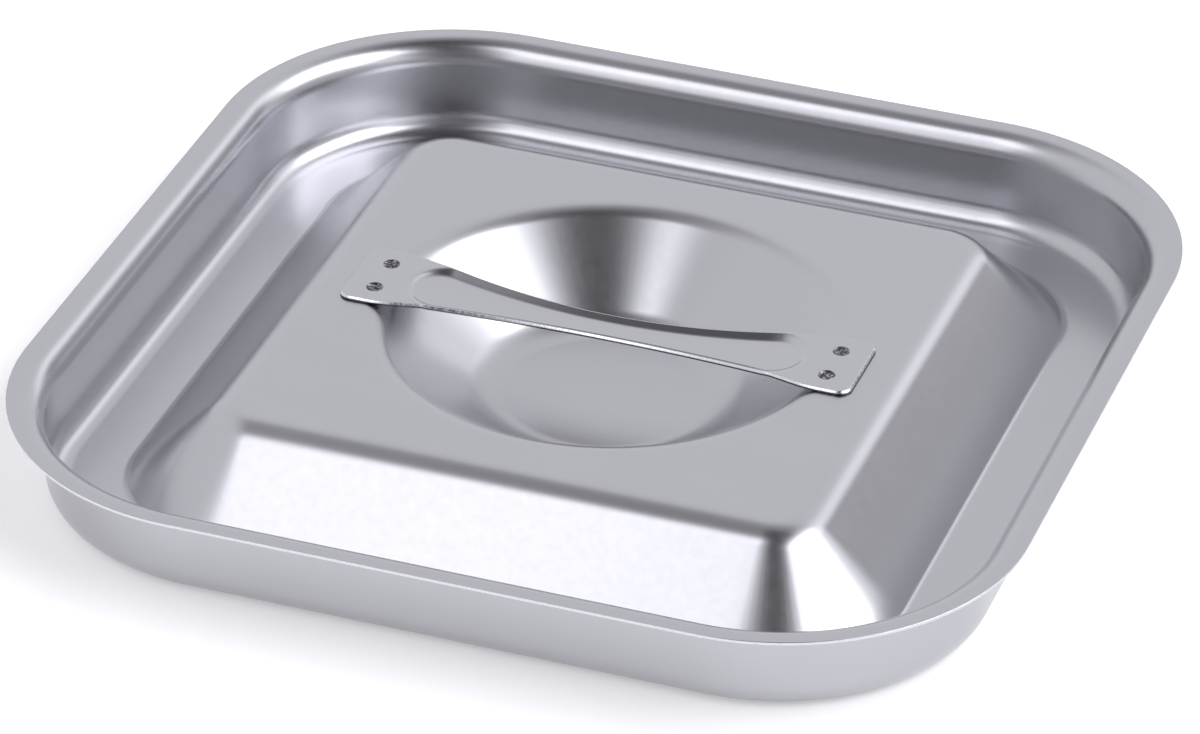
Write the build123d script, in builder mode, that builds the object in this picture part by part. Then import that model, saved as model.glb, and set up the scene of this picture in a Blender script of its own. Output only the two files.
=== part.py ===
"""Square pressed stainless tray with a round dish and a welded strap handle.

Frame: millimetres, +Z up, origin at the centre of the face that the tray rests on.
The strap handle runs along X. -Y is the front.
"""
from build123d import *
import os
from math import sin, cos, tan, radians

os.makedirs("parts", exist_ok=True)

# ---- driving dimensions (mm) -------------------------------------------------
rim_half = 150.0            # centre to the cut edge of the rim
corner_centre = 76.4        # every bend turns the corners about this point
height = 30.0               # underside of the base to the top of the rim
sheet = 1.0                 # thickness of the pressed sheet

wall_half = 139.3           # inner wall, measured at rim height
wall_draft = 2.0            # degrees off vertical
rim_bend_r = 8.0            # rim into wall, top surface
floor_bend_r = 7.0          # wall into channel floor, top surface

block_foot_half = 116.3     # where the raised block meets the channel floor
foot_bend_r = 2.0
block_edge_half = 88.6      # where the block's slope would meet its flat top
block_edge_r = 14.0
plateau_drop = 3.1          # the block's flat top lies this far below the rim
seam_half = 80.0            # inside this square the block's top is dead flat

dish_flat_r = 71.5          # the flat top ends and the dish's lip begins
dish_open_r = 73.5          # where the dish joins the flat top
dish_lip_r = 12.0
dish_slope = 37.0           # degrees, slope of the dish's conical wall
dish_bend_r = 16.0          # bend between the wall and the dish's flat floor
dish_floor_z = 3.0

strap_length = 157.0
strap_sheet = 1.2
pad_width = 30.0
pad_corner_r = 4.0
waist_half = 6.3            # half the strap's width in the middle
waist_r = 245.0             # radius of the strap's hollowed long edges
trough_length = 119.0
trough_depth = 3.6
trough_end_width = 17.0
trough_waist_half = 4.2
trough_waist_r = 300.0
trough_draft = 45.0         # degrees off vertical

weld_x = 69.5               # spot welds, from the middle of the tray
weld_y = 7.0
weld_d = 4.7
weld_dimple = 0.35          # depth of the electrode mark

# ---- levels worked out from the dimensions ----------------------------------
floor_z = sheet                                 # top of the channel floor
plateau_z = height - plateau_drop               # top of the raised block
pad_z = plateau_z + strap_sheet                 # top of the strap's pads
wall_foot_half = wall_half - (height - floor_z) * tan(radians(wall_draft))


def radial_plane(angle, along=0.0):
    """Upright plane whose X axis points outward at this angle, shifted along the side."""
    outward = Vector(1, 0, 0).rotate(Axis.Z, angle)
    sideways = Vector(0, 1, 0).rotate(Axis.Z, angle)
    return Plane(origin=sideways * along, x_dir=outward, z_dir=-sideways)


def sheet_section(plane):
    """The bent sheet cut across one side, from the flat top out to the rim's cut edge."""
    with BuildSketch(plane) as section:
        with BuildLine():
            FilletPolyline(
                (seam_half, plateau_z),
                (block_edge_half, plateau_z),
                (block_foot_half, floor_z),
                (wall_foot_half, floor_z),
                (wall_half, height),
                (rim_half, height),
                radius=[block_edge_r, foot_bend_r, floor_bend_r, rim_bend_r],
            )
            offset(amount=sheet, side=Side.RIGHT)
        make_face()
    return section.sketch


# ---- tray shell: one pressed sheet ------------------------------------------
slope = radians(dish_slope)
dish_rim_corner = dish_flat_r - dish_lip_r * tan(slope / 2)
dish_floor_corner = dish_rim_corner - (plateau_z - dish_floor_z) / tan(slope)

with BuildPart() as tray_shell:
    # four straight sides and four corners, all with the same section
    for angle in (0, 90, 180, 270):
        add(extrude(sheet_section(radial_plane(angle)), amount=corner_centre, both=True, mode=Mode.PRIVATE))
        corner = Vector(corner_centre, corner_centre, 0).rotate(Axis.Z, angle)
        turn = sheet_section(radial_plane(angle, corner_centre))
        add(revolve(turn, axis=Axis(corner, (0, 0, 1)), revolution_arc=90, mode=Mode.PRIVATE))
    # flat top of the block, open where the dish goes
    with BuildSketch(Plane.XY.offset(plateau_z - sheet)):
        RectangleRounded(2 * seam_half, 2 * seam_half, seam_half - corner_centre)
        Circle(dish_open_r, mode=Mode.SUBTRACT)
    extrude(amount=sheet)
    # the dish: a flat floor, a conical wall and a rolled lip
    with BuildSketch(Plane.XZ):
        with BuildLine():
            FilletPolyline(
                (0, dish_floor_z),
                (dish_floor_corner, dish_floor_z),
                (dish_rim_corner, plateau_z),
                (dish_open_r, plateau_z),
                radius=[dish_bend_r, dish_lip_r],
            )
            offset(amount=sheet, side=Side.RIGHT)
        make_face()
    revolve(axis=Axis.Z)
    # holes filled by the welds
    with BuildSketch(Plane.XY.offset(plateau_z - 4 * sheet)):
        with GridLocations(2 * weld_x, 2 * weld_y, 2, 2):
            Circle(weld_d / 2)
    extrude(amount=5 * sheet, mode=Mode.SUBTRACT)
tray_shell.part.label = "tray_shell"
export_step(tray_shell.part, "parts/tray_shell.step")


# ---- strap handle: waisted strip with a pressed trough -----------------------
def trough(grow, depth, top):
    """The trough as a solid that narrows downward from this height."""
    widen = depth * tan(radians(trough_draft))
    with BuildPart() as body:
        for level, extra in ((top - depth, 0.0), (top, widen)):
            with BuildSketch(Plane.XY.offset(level)):
                spread = grow + extra
                width = trough_end_width + 2 * spread
                RectangleRounded(trough_length + 2 * spread, width, 0.48 * width)
                hollow_r = trough_waist_r - spread
                with Locations((0, trough_waist_half + trough_waist_r), (0, -trough_waist_half - trough_waist_r)):
                    Circle(hollow_r, mode=Mode.SUBTRACT)
        loft(ruled=True)
    return body.part


outer_grow = strap_sheet * tan(radians((90 - trough_draft) / 2))

with BuildPart() as strap_handle:
    with BuildSketch(Plane.XY.offset(plateau_z)):
        RectangleRounded(strap_length, pad_width, pad_corner_r)
    extrude(amount=strap_sheet)
    add(trough(outer_grow, trough_depth, plateau_z))
    add(trough(0.0, trough_depth, pad_z), mode=Mode.SUBTRACT)
    with BuildSketch(Plane.XY.offset(plateau_z - 2 * trough_depth)):
        RectangleRounded(strap_length, pad_width, pad_corner_r)
        with Locations((0, waist_half + waist_r), (0, -waist_half - waist_r)):
            Circle(waist_r, mode=Mode.SUBTRACT)
    extrude(amount=3 * trough_depth, mode=Mode.INTERSECT)
    with BuildSketch(Plane.XY.offset(plateau_z)):
        with GridLocations(2 * weld_x, 2 * weld_y, 2, 2):
            Circle(weld_d / 2)
    extrude(amount=2 * strap_sheet, mode=Mode.SUBTRACT)
strap_handle.part.label = "strap_handle"
export_step(strap_handle.part, "parts/strap_handle.step")


# ---- spot welds: solid nuggets through the strap's pads and the shell --------
mark_r = (weld_d ** 2 / 4 + weld_dimple ** 2) / (2 * weld_dimple)

for name, x, y in (
    ("weld_left_front", -weld_x, -weld_y),
    ("weld_left_rear", -weld_x, weld_y),
    ("weld_right_front", weld_x, -weld_y),
    ("weld_right_rear", weld_x, weld_y),
):
    with BuildPart() as weld:
        with BuildSketch(Plane.XY.offset(plateau_z - sheet)):
            with Locations((x, y)):
                Circle(weld_d / 2)
        extrude(amount=sheet + strap_sheet)
        # shallow mark left by the welding electrode
        with Locations((x, y, pad_z - weld_dimple + mark_r)):
            Sphere(mark_r, mode=Mode.SUBTRACT)
    weld.part.label = name
    export_step(weld.part, f"parts/{name}.step")
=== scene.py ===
"""Square pressed stainless tray with a round dish and a welded strap handle, in a soft studio.

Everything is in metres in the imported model's frame: +Z up, X along the strap, -Y to the front.
"""
from math import cos, degrees, hypot, pi, radians, sin, sqrt, tan

import bpy
from mathutils import Matrix, Vector, noise


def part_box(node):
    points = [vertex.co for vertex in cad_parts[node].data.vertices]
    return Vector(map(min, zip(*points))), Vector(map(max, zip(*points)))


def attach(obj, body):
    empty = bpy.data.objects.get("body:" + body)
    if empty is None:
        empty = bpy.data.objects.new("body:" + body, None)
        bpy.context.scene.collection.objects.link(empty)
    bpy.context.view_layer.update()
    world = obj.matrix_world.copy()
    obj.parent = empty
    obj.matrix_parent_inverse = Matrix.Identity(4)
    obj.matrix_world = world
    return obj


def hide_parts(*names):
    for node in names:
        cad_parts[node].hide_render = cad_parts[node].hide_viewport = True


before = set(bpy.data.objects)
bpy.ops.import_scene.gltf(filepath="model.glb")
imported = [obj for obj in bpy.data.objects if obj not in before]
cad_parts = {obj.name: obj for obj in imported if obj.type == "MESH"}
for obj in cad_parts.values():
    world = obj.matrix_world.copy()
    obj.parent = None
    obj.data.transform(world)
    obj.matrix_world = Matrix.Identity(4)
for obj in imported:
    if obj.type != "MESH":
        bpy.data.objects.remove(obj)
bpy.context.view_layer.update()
MM = 0.001

# ---- sizes from the frame -----------------------------------------------------
shell_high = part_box("tray_shell")[1]
strap_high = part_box("strap_handle")[1]
RIM_HALF = shell_high.x
RIM_Z = shell_high.z
PAD_Z = strap_high.z                    # top of the strap's pads
STRAP_HALF = strap_high.x
PAD_HALF = strap_high.y

# ---- the pressed sheet --------------------------------------------------------
SHEET = 1.0 * MM
EDGE_ROUND = 0.2 * MM                   # rounding of the sheet's cut edges
SHARP_EDGE = radians(50)                # what counts as an edge to round
CORNER_CENTRE = RIM_HALF - 73.6 * MM    # every bend turns the corners about this point
SEAM_HALF = CORNER_CENTRE + 3.6 * MM    # ring on the flat top where the block's section begins
WALL_HALF = RIM_HALF - 10.7 * MM
WALL_DRAFT = radians(2)
RIM_BEND = 8 * MM
FLOOR_BEND = 7 * MM
FOOT_HALF = RIM_HALF - 33.7 * MM
FOOT_BEND = 4 * MM
BLOCK_HALF = RIM_HALF - 61.4 * MM
BLOCK_BEND = 14 * MM
STRAP_SHEET = 1.2 * MM
PLATEAU_Z = PAD_Z - STRAP_SHEET
DISH_R = 71.5 * MM                      # the flat top ends and the dish's lip begins
DISH_OPEN = 73.5 * MM                   # last ring of the dish, out on the flat top
DISH_LIP = 12 * MM
DISH_BEND = 20 * MM                     # between the dish's wall and its flat floor
DISH_SLOPE = radians(37)
DISH_FLOOR_Z = 3 * MM

# ---- the strap ------------------------------------------------------------------
PAD_CORNER = 4 * MM
WAIST_HALF = 6.3 * MM
WAIST_R = 245 * MM                      # radius of the long hollow sides
WAIST_BLEND = 1.2 * MM                  # softness where the waist meets the pads
TROUGH_WAIST = 3.6 * MM                 # half width of the trough's floor in the middle
TROUGH_R = 277 * MM
TROUGH_RISE = tan(radians(28))          # slope of the trough's walls
TROUGH_END = 51 * MM                    # centre of the trough's round ends
TROUGH_BOW = TROUGH_END + 9 * MM        # where the bowed floor would run out
TROUGH_DEEP = 3.5 * MM                  # in the middle
TROUGH_SHALLOW = 1.0 * MM               # at the ends
TROUGH_FOOT = 1.0 * MM                  # rounding at the foot of the trough's walls
TROUGH_SHOULDER = 0.4 * MM              # and at their top
# the strap's edge, outward and upward from its middle surface in half thicknesses
EDGE_PROFILE = [(0.08, 0.98), (0.17, 0.91), (0.55, 0.53), (0.93, 0.15), (0.99, 0.05), (1.0, -0.1),
                (1.0, -0.55), (0.9, -0.85), (0.65, -0.95)]
SHADE_START, SHADE_FULL = -45 * MM, 0.0   # along X, the painted dark reflection on the trough's walls grows between these
SHADE_FADE, SHADE_END = 46 * MM, 53 * MM  # and ends between these, towards either pad
WELD_R = 2.35 * MM
WELD_RECESS = 0.5 * MM                  # how far the strap's top is sunk under each weld mark
WELDS = [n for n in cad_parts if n.startswith("weld_")]


# ---- mesh helpers ---------------------------------------------------------------
def smoothstep(a, b, x):
    """0 below a, 1 above b and an even S between them."""
    t = min(1.0, max(0.0, (x - a) / (b - a)))
    return t * t * (3 - 2 * t)


def left_of(start, end):
    """Unit normal on the left of the line from start to end, in the section plane."""
    u = (end - start).normalized()
    return Vector((-u.y, u.x))


def bent_line(points, bends, step=radians(2.5)):
    """A line with rounded corners: (point, normal on its left) pairs, dense only on the bends."""
    pts = [Vector(p) for p in points]
    out = [(pts[0], left_of(pts[0], pts[1]))]
    for a, b, c, radius in zip(pts, pts[1:], pts[2:], bends):
        u, v = (b - a).normalized(), (c - b).normalized()
        turn = u.angle_signed(v)                       # positive turns clockwise
        reach = radius * tan(abs(turn) / 2)
        left = left_of(a, b)
        side = -1 if turn > 0 else 1
        centre = b - u * reach + left * side * radius
        count = max(4, int(abs(turn) / step))
        for i in range(count + 1):
            n = left.copy()
            n.rotate(Matrix.Rotation(-turn * i / count, 2))
            out.append((centre - n * side * radius, n))
    out.append((pts[-1], left_of(pts[-2], pts[-1])))
    return out


def build(name, verts, faces, replaced, materials, edge_faces=()):
    """A smooth piece in a CAD node's place; edge_faces take the second material."""
    mesh = bpy.data.meshes.new(name)
    mesh.from_pydata(verts, [], faces)
    for m in materials:
        mesh.materials.append(m)
    for f in edge_faces:
        mesh.polygons[f].material_index = 1
    mesh.validate()
    mesh.shade_smooth()
    piece = bpy.data.objects.new(name, mesh)
    bpy.context.scene.collection.objects.link(piece)
    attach(piece, "root")
    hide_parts(replaced)
    return piece


def soften_edges(piece, width):
    """Round the sharp edges of the sheet."""
    bevel = piece.modifiers.new("rounded_edges", "BEVEL")
    bevel.width = width
    bevel.segments = 2
    bevel.limit_method = "ANGLE"
    bevel.angle_limit = SHARP_EDGE
    bevel.harden_normals = True


# ---- materials -------------------------------------------------------------------
CLOUD_SCALE = 38                        # noise scales, in cells per metre
SATIN_SCALE = 420
GRAIN_SCALE = 900
WAVE_SCALE = 45
PIT_SCALE = 1500
WAVE_HEIGHT = 0.008 * MM                # faint waviness of the rolled sheet
SHEAR_HEIGHT = 0.03 * MM
PIT_HEIGHT = 0.2 * MM
# painted reflection: the dark tone laid on the strap's trough walls
PAINTED_SHADE_STEEL = (0.10, 0.10, 0.11)
BRIGHT_EDGE = (0.66, 0.66, 0.69)
# painted shade along the lower half of the strap's cut edge
PAINTED_SHADE_EDGE = (0.06, 0.06, 0.065)
WELD_PIT = (0.05, 0.05, 0.055)
WELD_SPECK = (0.4, 0.4, 0.42)


def new_material(name):
    """A node material, its node tree and its shader."""
    m = bpy.data.materials.new(name)
    m.use_nodes = True
    return m, m.node_tree, m.node_tree.nodes["Principled BSDF"]


def noise_node(tree, scale, detail):
    """Noise fixed to the object, with the scale in cells per metre."""
    coord = tree.nodes.new("ShaderNodeTexCoord")
    n = tree.nodes.new("ShaderNodeTexNoise")
    n.inputs["Scale"].default_value = scale
    n.inputs["Detail"].default_value = detail
    n.inputs["Roughness"].default_value = 0.5
    tree.links.new(coord.outputs["Object"], n.inputs["Vector"])
    return n.outputs["Fac"]


def remap(tree, value, low, high, start=0.3, end=0.7):
    """Stretch value's range from start..end to low..high."""
    r = tree.nodes.new("ShaderNodeMapRange")
    r.inputs["From Min"].default_value = start
    r.inputs["From Max"].default_value = end
    r.inputs["To Min"].default_value = low
    r.inputs["To Max"].default_value = high
    tree.links.new(value, r.inputs["Value"])
    return r.outputs["Result"]


def mix_colour(tree, fac, a, b):
    """Colour a where fac is 0 and colour b where it is 1."""
    m = tree.nodes.new("ShaderNodeMix")
    m.data_type = "RGBA"
    m.inputs["A"].default_value = (*a, 1)
    m.inputs["B"].default_value = (*b, 1)
    tree.links.new(fac, m.inputs["Factor"])
    return m.outputs["Result"]


def bumps(tree, shader, layers):
    """Stack bump layers of (height source, distance in metres)."""
    normal = None
    for height, distance in layers:
        b = tree.nodes.new("ShaderNodeBump")
        b.inputs["Strength"].default_value = 1.0
        b.inputs["Distance"].default_value = distance
        tree.links.new(height, b.inputs["Height"])
        if normal:
            tree.links.new(normal, b.inputs["Normal"])
        normal = b.outputs["Normal"]
    tree.links.new(normal, shader.inputs["Normal"])


def satin_steel(name, dark, light, rough, grain, shade_attribute=None):
    """Satin sheet, a little cloudy, with a fine grain; the attribute named last darkens it with a painted
    dark reflection.
    """
    m, tree, shader = new_material(name)
    shader.inputs["Metallic"].default_value = 1.0
    cloud = noise_node(tree, CLOUD_SCALE, 4)
    colour = mix_colour(tree, cloud, dark, light)
    if shade_attribute:
        # painted reflection: the attribute mixes the dark tone into the colour
        darkness = tree.nodes.new("ShaderNodeAttribute")
        darkness.attribute_name = shade_attribute
        mix = tree.nodes.new("ShaderNodeMix")
        mix.data_type = "RGBA"
        tree.links.new(darkness.outputs["Fac"], mix.inputs["Factor"])
        tree.links.new(colour, mix.inputs["A"])
        mix.inputs["B"].default_value = (*PAINTED_SHADE_STEEL, 1)
        colour = mix.outputs["Result"]
    tree.links.new(colour, shader.inputs["Base Color"])
    tree.links.new(remap(tree, noise_node(tree, SATIN_SCALE, 3), *rough), shader.inputs["Roughness"])
    bumps(tree, shader, [(noise_node(tree, GRAIN_SCALE, 1), grain),
                         (noise_node(tree, WAVE_SCALE, 1), WAVE_HEIGHT)])
    return m


def sheared_steel(name):
    """The bright cut edge of the sheet, darkened with painted shade where the attribute says so."""
    m, tree, shader = new_material(name)
    shader.inputs["Metallic"].default_value = 1.0
    darkness = tree.nodes.new("ShaderNodeAttribute")
    darkness.attribute_name = "painted_shade"
    colour = mix_colour(tree, darkness.outputs["Fac"], BRIGHT_EDGE, PAINTED_SHADE_EDGE)
    tree.links.new(colour, shader.inputs["Base Color"])
    tree.links.new(remap(tree, noise_node(tree, GRAIN_SCALE, 2), 0.12, 0.34), shader.inputs["Roughness"])
    bumps(tree, shader, [(noise_node(tree, GRAIN_SCALE, 2), SHEAR_HEIGHT)])
    return m


def weld_steel(name):
    """Dark pitted metal with brighter specks."""
    m, tree, shader = new_material(name)
    shader.inputs["Metallic"].default_value = 1.0
    spots = noise_node(tree, GRAIN_SCALE, 3)
    colour = mix_colour(tree, remap(tree, spots, 0, 1, 0.45, 0.62), WELD_PIT, WELD_SPECK)
    tree.links.new(colour, shader.inputs["Base Color"])
    tree.links.new(remap(tree, spots, 0.45, 0.22), shader.inputs["Roughness"])
    bumps(tree, shader, [(noise_node(tree, PIT_SCALE, 3), PIT_HEIGHT)])
    return m


def floor_paper(name):
    """Pale matt paper that glows a little, as a lit sweep does."""
    m, tree, shader = new_material(name)
    shader.inputs["Roughness"].default_value = 0.9
    shader.inputs["Specular IOR Level"].default_value = 0.1
    tree.links.new(mix_colour(tree, noise_node(tree, 3, 2), (0.9, 0.9, 0.905), (0.93, 0.93, 0.93)),
                   shader.inputs["Base Color"])
    shader.inputs["Emission Color"].default_value = (1, 1, 1, 1)
    shader.inputs["Emission Strength"].default_value = 0.27
    return m


sheet_steel = satin_steel("satin_sheet", dark=(0.49, 0.49, 0.515), light=(0.51, 0.51, 0.535),
                          rough=(0.25, 0.27), grain=0.0015 * MM)
# the strap's steel takes its painted dark reflection from the attribute
strap_steel = satin_steel("satin_strap", dark=(0.50, 0.50, 0.525), light=(0.52, 0.52, 0.545),
                          rough=(0.23, 0.25), grain=0.0012 * MM, shade_attribute="painted_shade")
cut_edge = sheared_steel("sheared_edge")
weld_mark = weld_steel("weld_mark")


# ---- tray shell ---------------------------------------------------------------------
def seam_columns(per_side=44, per_corner=28):
    """Stations round the rounded square: (corner or side anchor, outward direction)."""
    out = []
    for quarter in range(4):
        turn = Matrix.Rotation(quarter * pi / 2, 2)
        for i in range(per_side):
            along = CORNER_CENTRE * (2 * i / per_side - 1)
            out.append((turn @ Vector((CORNER_CENTRE, along)), turn @ Vector((1, 0))))
        for i in range(per_corner):
            a = pi / 2 * i / per_corner
            out.append((turn @ Vector((CORNER_CENTRE, CORNER_CENTRE)), turn @ Vector((cos(a), sin(a)))))
    return out


def shell_mesh():
    """The sheet's top and underside as rings about the middle, joined by the cut edge at the rim."""
    rim_corner = DISH_R - DISH_LIP * tan(DISH_SLOPE / 2)
    dish = bent_line(
        [(0, DISH_FLOOR_Z), (rim_corner - (PLATEAU_Z - DISH_FLOOR_Z) / tan(DISH_SLOPE), DISH_FLOOR_Z),
         (rim_corner, PLATEAU_Z), (DISH_OPEN, PLATEAU_Z)],
        [DISH_BEND, DISH_LIP])[1:]
    section = bent_line(
        [(SEAM_HALF, PLATEAU_Z), (BLOCK_HALF, PLATEAU_Z), (FOOT_HALF, SHEET),
         (WALL_HALF - (RIM_Z - SHEET) * tan(WALL_DRAFT), SHEET), (WALL_HALF, RIM_Z), (RIM_HALF, RIM_Z)],
        [BLOCK_BEND, FOOT_BEND, FLOOR_BEND, RIM_BEND])
    columns = seam_columns()
    n = len(columns)

    def rings(depth):
        """All rings of one face of the sheet, from the middle of the dish to the rim."""
        out = []
        seams = [anchor + outward * (SEAM_HALF - CORNER_CENTRE) for anchor, outward in columns]
        for p, normal in dish:
            q = p - normal * depth
            out.append([(*(seam.normalized() * q.x), q.y) for seam in seams])
        for k in (0.33, 0.67):                         # across the flat top, from round to square
            ring = [seam.normalized() * DISH_OPEN * (1 - k) + seam * k for seam in seams]
            out.append([(*p, PLATEAU_Z - depth) for p in ring])
        for p, normal in section:
            q = p - normal * depth
            reach = q.x - CORNER_CENTRE
            out.append([(*(anchor + outward * reach), q.y) for anchor, outward in columns])
        return out

    top, under = rings(0), rings(SHEET)
    verts = [(0, 0, DISH_FLOOR_Z)]
    for ring in top + under[::-1]:
        verts += ring
    verts.append((0, 0, DISH_FLOOR_Z - SHEET))
    count = 2 * len(top)
    faces = [(0, 1 + j, 1 + (j + 1) % n) for j in range(n)]
    edge = []
    for i in range(count - 1):
        for j in range(n):
            a, b = 1 + i * n + j, 1 + i * n + (j + 1) % n
            if i == len(top) - 1:
                edge.append(len(faces))
            faces.append((a, a + n, b + n, b))
    last = 1 + (count - 1) * n
    faces += [(len(verts) - 1, last + (j + 1) % n, last + j) for j in range(n)]
    return verts, faces, edge


verts, faces, edge = shell_mesh()
shell = build("pressed_shell", verts, faces, "tray_shell", [sheet_steel, cut_edge], edge)
soften_edges(shell, EDGE_ROUND)


# ---- strap handle ---------------------------------------------------------------------
def strap_width(x, inset):
    """Half the strap's width at x, less the inset: pads with rounded corners and a long hollow waist."""
    x = abs(x)
    waist = WAIST_HALF - inset + x * x / (2 * WAIST_R)
    pad = PAD_HALF - inset
    start, radius = STRAP_HALF - PAD_CORNER, PAD_CORNER - inset
    if x > start:
        pad += sqrt(max(0.0, radius ** 2 - (x - start) ** 2)) - radius
    h = max(0.0, WAIST_BLEND - abs(waist - pad)) / WAIST_BLEND
    return min(waist, pad) - h * h * WAIST_BLEND / 4


def trough_drop(x, y):
    """How far the strap's top lies below the pads at this point."""
    ax, ay = abs(x), abs(y)
    if ax < TROUGH_END:
        outside = ay - TROUGH_WAIST - ax * ax / (2 * TROUGH_R)
    else:
        outside = hypot(ax - TROUGH_END, ay) - TROUGH_WAIST - TROUGH_END ** 2 / (2 * TROUGH_R)
    sag = max(0.0, 1 - (ax / TROUGH_BOW) ** 2)
    depth = TROUGH_SHALLOW + (TROUGH_DEEP - TROUGH_SHALLOW) * sag
    # height above the trough's floor: a sloping wall with a rounded foot and a rounded shoulder
    if outside < -TROUGH_FOOT:
        rise = 0.0
    elif outside < TROUGH_FOOT:
        rise = (outside + TROUGH_FOOT) ** 2 / (4 * TROUGH_FOOT) * TROUGH_RISE
    else:
        rise = outside * TROUGH_RISE
    h = max(0.0, TROUGH_SHOULDER - abs(depth - rise)) / TROUGH_SHOULDER
    return depth - (min(rise, depth) - h * h * TROUGH_SHOULDER / 4)


def strap_mesh():
    """The strap about its middle surface, its edge shaped by EDGE_PROFILE, and the painted darkening of
    each vertex: a dark reflection on the trough's walls and shade on the cut edge.
    """
    half_sheet = STRAP_SHEET / 2
    start, radius = STRAP_HALF - PAD_CORNER, PAD_CORNER - half_sheet
    along_half, round_corner, across = 150, 10, 64
    stations = [start * i / along_half for i in range(along_half)]
    stations += [start + radius * sin(pi / 2 * i / round_corner) for i in range(round_corner + 1)]
    stations = [-x for x in stations[:0:-1]] + stations
    weld_xy = [(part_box(w)[0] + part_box(w)[1]) / 2 for w in WELDS]
    d = 0.05 * MM                                      # step for the slopes
    middle, normals, tops = [], [], []
    for x in stations:
        half = strap_width(x, half_sheet)
        for j in range(across + 1):
            y = half * (2 * j / across - 1)
            drop = trough_drop(x, y)
            slope_x = (trough_drop(x + d, y) - trough_drop(x - d, y)) / (2 * d)
            slope_y = (trough_drop(x, y + d) - trough_drop(x, y - d)) / (2 * d)
            n = Vector((slope_x, slope_y, 1)).normalized()
            top = Vector((x, y, PAD_Z - drop))
            middle.append(top - n * half_sheet)
            normals.append(n)
            recess = max(1 - smoothstep(WELD_R * 0.85, WELD_R, hypot(x - c.x, y - c.y)) for c in weld_xy)
            tops.append(top - n * WELD_RECESS * recess)
    unders = [m - n * half_sheet for m, n in zip(middle, normals)]
    verts, faces, edge = tops + unders, [], []
    wide, size = across + 1, len(tops)
    for i in range(len(stations) - 1):
        for j in range(across):
            a, b = i * wide + j, (i + 1) * wide + j
            faces.append((a, b, b + 1, a + 1))
            faces.append((size + a, size + a + 1, size + b + 1, size + b))
    # once round the outline, anticlockwise from above
    long, last = len(stations), (len(stations) - 1) * wide
    loop = [i * wide for i in range(long)] + [last + j for j in range(1, wide)]
    loop += [i * wide + across for i in range(long - 2, -1, -1)] + [j for j in range(across - 1, 0, -1)]
    count = len(loop)
    rows = [loop]
    for reach, rise in EDGE_PROFILE:
        row = []
        for i, v in enumerate(loop):
            along = middle[loop[(i + 1) % count]] - middle[loop[i - 1]]
            out = along.cross(Vector((0, 0, 1))).normalized()
            row.append(len(verts))
            verts.append(middle[v] + Vector((out.x * reach, out.y * reach, rise)) * half_sheet)
        rows.append(row)
    rows.append([size + v for v in loop])
    for upper, lower in zip(rows, rows[1:]):
        for i in range(count):
            k = (i + 1) % count
            edge.append(len(faces))
            faces.append((upper[i], lower[i], lower[k], upper[k]))
    # painted reflection: the trough's walls are darker to the right, standing in for a near reflection
    # that the distant dome can't give
    darkness = [smoothstep(0.15, 0.4, abs(n.y)) * (0.15 + 0.6 * smoothstep(SHADE_START, SHADE_FULL, m.x))
                * (1 - smoothstep(SHADE_FADE, SHADE_END, abs(m.x)))
                for m, n in zip(middle, normals)]
    darkness += [0.0] * size
    for _, rise in EDGE_PROFILE:                       # and painted shade darkens the lower half of the cut edge
        darkness += [0.9 if rise < 0 else 0.0] * count
    return [tuple(v) for v in verts], faces, edge, darkness


verts, faces, edge, darkness = strap_mesh()
strap = build("strap", verts, faces, "strap_handle", [strap_steel, cut_edge], edge)
# the painted darkening, stored per vertex for the materials
shade_attribute = strap.data.attributes.new("painted_shade", "FLOAT", "POINT")
for v, value in enumerate(darkness):
    shade_attribute.data[v].value = value


# ---- spot welds ---------------------------------------------------------------------------
def weld_mesh(centre, low, seed):
    """A round nugget with a cratered top, standing from low up to the pad's top."""
    around, steps = 40, 14
    outer = WELD_R + 0.1 * MM
    lip, hollow, moat, pits = 0.03 * MM, 0.1 * MM, 0.34 * MM, 0.1 * MM      # heights and depths
    navel = 0.12 * MM                                                       # depth of the very middle
    verts, faces = [(*centre.xy, PAD_Z - navel)], []
    for i in range(1, steps + 1):
        r = outer * i / steps
        t = r / outer
        height = PAD_Z + lip - hollow * (1 - smoothstep(0, 1, t))
        height -= moat * (smoothstep(0.0, 0.5, t) - smoothstep(0.72, 1.0, t))
        for j in range(around):
            a = 2 * pi * j / around
            p = Vector((centre.x + r * cos(a), centre.y + r * sin(a), 0))
            rough = noise.noise(p * PIT_SCALE + Vector((seed, 0, 0))) * pits
            verts.append((p.x, p.y, height + rough * (1 - smoothstep(0.8, 1.0, t))))
    for j in range(around):
        a = 2 * pi * j / around
        verts.append((centre.x + outer * cos(a), centre.y + outer * sin(a), low))
    verts.append((*centre.xy, low))
    for j in range(around):
        k = (j + 1) % around
        faces.append((0, 1 + j, 1 + k))
        for i in range(steps):
            a, b = 1 + i * around, 1 + (i + 1) * around
            faces.append((a + j, b + j, b + k, a + k))
        faces.append((len(verts) - 1, 1 + steps * around + k, 1 + steps * around + j))
    return verts, faces


for seed, node in enumerate(sorted(WELDS)):
    low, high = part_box(node)
    verts, faces = weld_mesh((low + high) / 2, low.z + 0.05 * MM, 7.0 * seed)
    build(node.replace("weld", "weld_mark"), verts, faces, node, [weld_mark])


# ---- floor, world and camera ------------------------------------------------------------------
FLOOR_WIDTH = 12                        # metres
FLOOR_GAP = 0.2 * MM                    # keeps the floor's plane clear of the tray's base
bpy.ops.mesh.primitive_plane_add(size=FLOOR_WIDTH, location=(0, 0, -FLOOR_GAP))
floor = bpy.context.object
floor.name = "floor"
floor.data.materials.append(floor_paper("floor_paper"))


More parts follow.
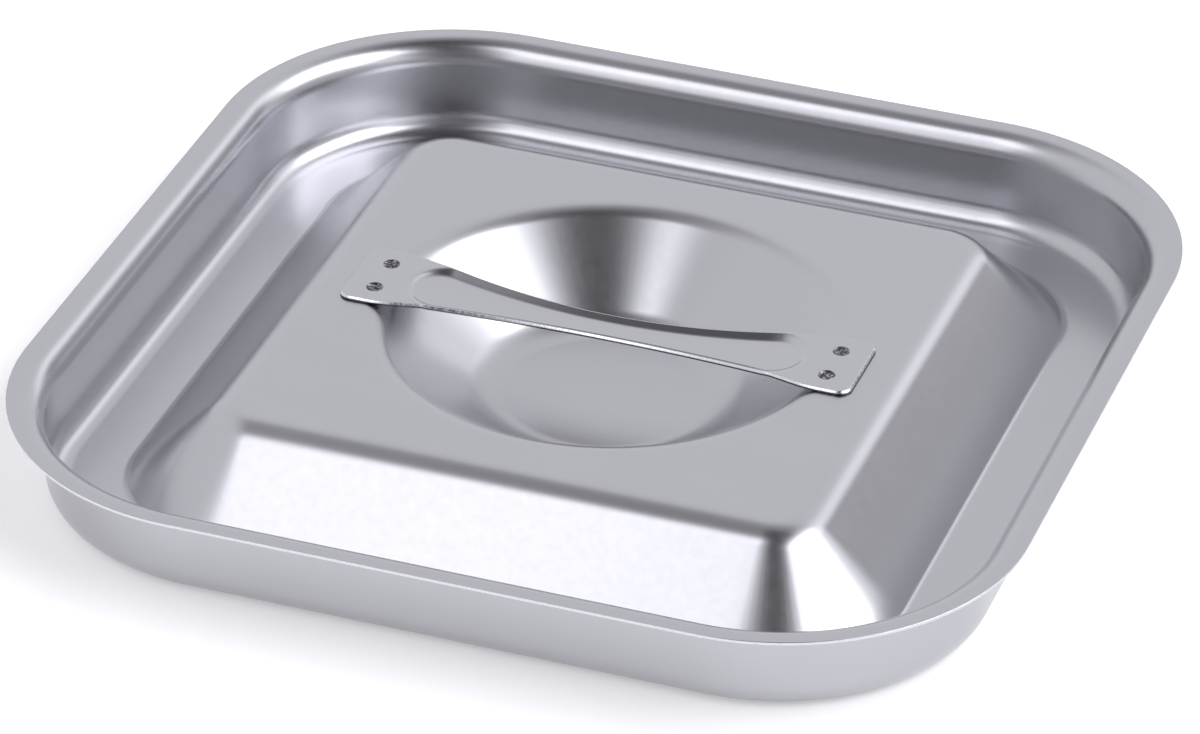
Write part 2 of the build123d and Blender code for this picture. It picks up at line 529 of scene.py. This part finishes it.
def studio_world():
    """A pale dome with soft boxes and dark gaps, laid out in degrees from the zenith: x right, y back."""
    world = bpy.data.worlds.new("studio")
    bpy.context.scene.world = world
    world.use_nodes = True
    tree = world.node_tree
    tree.nodes.clear()
    new, link = tree.nodes.new, tree.links.new

    def maths(op, *values):
        node = new("ShaderNodeMath")
        node.operation = op
        for socket, value in zip(node.inputs, values):
            if isinstance(value, (int, float)):
                socket.default_value = value
            else:
                link(value, socket)
        return node.outputs[0]

    coord = new("ShaderNodeTexCoord")
    split = new("ShaderNodeSeparateXYZ")
    link(coord.outputs["Generated"], split.inputs[0])
    dx, dy, dz = split.outputs
    level = maths("SQRT", maths("ADD", maths("MULTIPLY", dx, dx), maths("MULTIPLY", dy, dy)))
    tilt = maths("MULTIPLY", maths("ARCTAN2", level, dz), degrees(1))
    scale = maths("DIVIDE", tilt, maths("MAXIMUM", level, 1e-4))
    x, y = maths("MULTIPLY", dx, scale), maths("MULTIPLY", dy, scale)

    def ramp(value, start, end):
        node = new("ShaderNodeMapRange")
        node.interpolation_type = "SMOOTHSTEP"
        node.inputs["From Min"].default_value = start
        node.inputs["From Max"].default_value = end
        link(value, node.inputs["Value"])
        return node.outputs["Result"]

    def panel(glow, cx, cy, half_w, half_h, turn, soft, strength):
        """Mix one soft-edged panel, turned by degrees, over the glow so far."""
        c, s = cos(radians(turn)), sin(radians(turn))
        px, py = maths("SUBTRACT", x, cx), maths("SUBTRACT", y, cy)
        u = maths("ADD", maths("MULTIPLY", px, c), maths("MULTIPLY", py, s))
        v = maths("SUBTRACT", maths("MULTIPLY", py, c), maths("MULTIPLY", px, s))
        mask = maths("MULTIPLY", ramp(maths("ABSOLUTE", u), half_w + soft, half_w - soft),
                     ramp(maths("ABSOLUTE", v), half_h + soft, half_h - soft))
        rest = maths("MULTIPLY", glow, maths("SUBTRACT", 1.0, mask))
        return maths("ADD", rest, maths("MULTIPLY", mask, strength))

    glow = maths("ADD", maths("MULTIPLY", ramp(y, -80, -20), DOME_RISE), DOME_FRONT)
    for one in PANELS:
        glow = panel(glow, *one)
    background = new("ShaderNodeBackground")
    background.inputs["Color"].default_value = (0.96, 0.96, 1.0, 1)
    link(glow, background.inputs["Strength"])
    output = new("ShaderNodeOutputWorld")
    link(background.outputs[0], output.inputs["Surface"])


DOME_FRONT, DOME_RISE = 0.34, 0.60      # the dome's glow low in front, and what it gains to the back
# centre x, centre y, half width, half height, turn and softness in degrees, then strength;
# each is laid over the ones before it
PANELS = [
    (78, 0, 15, 60, 0, 6, 0.64),         # dimmer wall to the right
    (26, 62, 8, 20, 0, 5, 1.5),          # glow behind, to the right
    (44, 64, 10, 14, 0, 3, 0.38),        # and a dull patch beside it
    (-5, 6, 21, 24, 0, 8, 0.40),         # shaded ceiling
    (5, 1, 15, 14, 0, 5, 0.04),          # dark gap overhead
    (12, -24, 14, 17, 0, 4, 0.02),       # and its nearer part
    (17, -50, 18, 16, 0, 6, 0.16),       # dark gap in front
    (37, 38, 9, 12, 0, 5, 1.7),          # back end of the large box
    (43, 5, 16, 26, 0, 3, 4.6),          # large box to the right
    (52, -37, 10, 10, 0, 5, 1.35),       # its dim front end
    (-17, -50, 7, 12, 0, 4, 1.9),        # dimmer end of the strip box
    (-17, -25, 5.5, 14, -20, 5, 3.2),    # strip box in front, to the left
]
studio_world()

scene = bpy.context.scene
scene.view_settings.view_transform = "Standard"

CAMERA_AZIMUTH, CAMERA_ELEVATION, CAMERA_ROLL = radians(18.85), radians(31.49), radians(1.01)
CAMERA_DISTANCE = 1.9516                          # metres
CAMERA_LENS, CAMERA_SENSOR = 201.3, 36            # millimetres
AIM_RIGHT, AIM_UP = -1.9 * MM, -15.7 * MM         # where the camera points, from the rim's centre
level = cos(CAMERA_ELEVATION)
back = Vector((sin(CAMERA_AZIMUTH) * level, -cos(CAMERA_AZIMUTH) * level, sin(CAMERA_ELEVATION)))
right = Vector((cos(CAMERA_AZIMUTH), sin(CAMERA_AZIMUTH), 0))
up = back.cross(right)
cos_roll, sin_roll = cos(CAMERA_ROLL), sin(CAMERA_ROLL)
right, up = right * cos_roll + up * sin_roll, up * cos_roll - right * sin_roll
camera_data = bpy.data.cameras.new("camera")
camera_data.sensor_width = CAMERA_SENSOR
camera_data.lens = CAMERA_LENS
camera = bpy.data.objects.new("camera", camera_data)
scene.collection.objects.link(camera)
place = Vector((0, 0, RIM_Z)) + back * CAMERA_DISTANCE + right * AIM_RIGHT + up * AIM_UP
camera.matrix_world = Matrix.Translation(place) @ Matrix((right, up, back)).transposed().to_4x4()
scene.camera = camera
